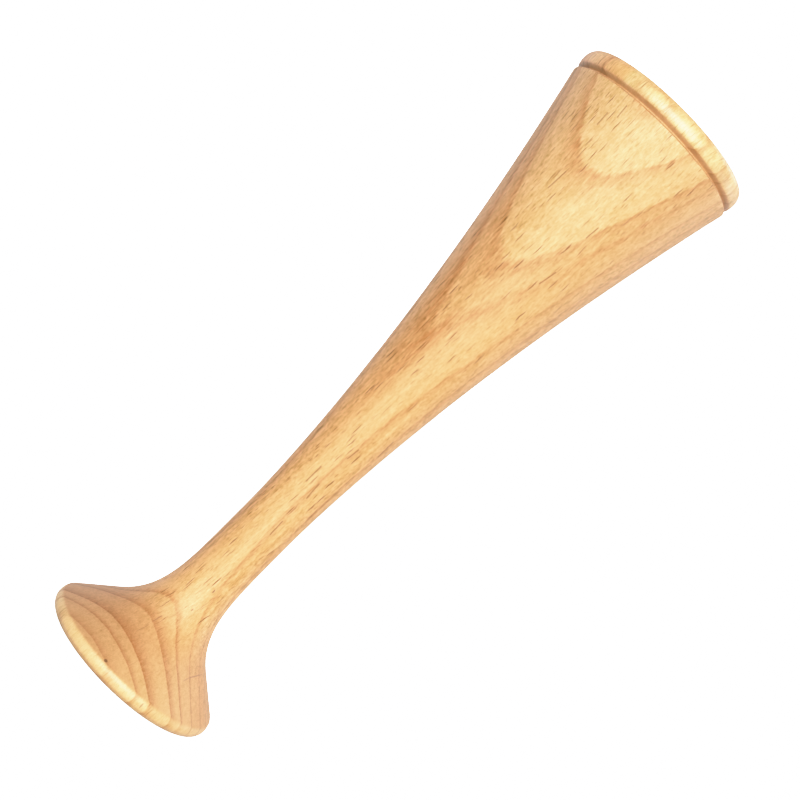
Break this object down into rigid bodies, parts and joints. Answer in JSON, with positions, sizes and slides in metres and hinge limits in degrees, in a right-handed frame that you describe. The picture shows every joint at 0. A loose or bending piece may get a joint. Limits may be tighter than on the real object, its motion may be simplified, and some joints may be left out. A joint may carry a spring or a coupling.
{
  "type": "monaural stethoscope",
  "caption": "Turned wooden listening horn: conical bell with a beaded rim, slim bored stem and a flat flared ear plate, made in one piece.",
  "frame": {"origin": "centre of the flat ear face, on the axis of the air way", "axes": "+Z along the air way from the ear face to the mouth of the bell; the horn is a turning, so X and Y are free"},
  "size_m": [0.0494, 0.0494, 0.18],
  "materials": {
    "beech": "sanded and sealed with a clear satin finish, fine flecks along the axis"
  },
  "bodies": {
    "root": {"horn": "beech"}
  },
  "joints": []
}
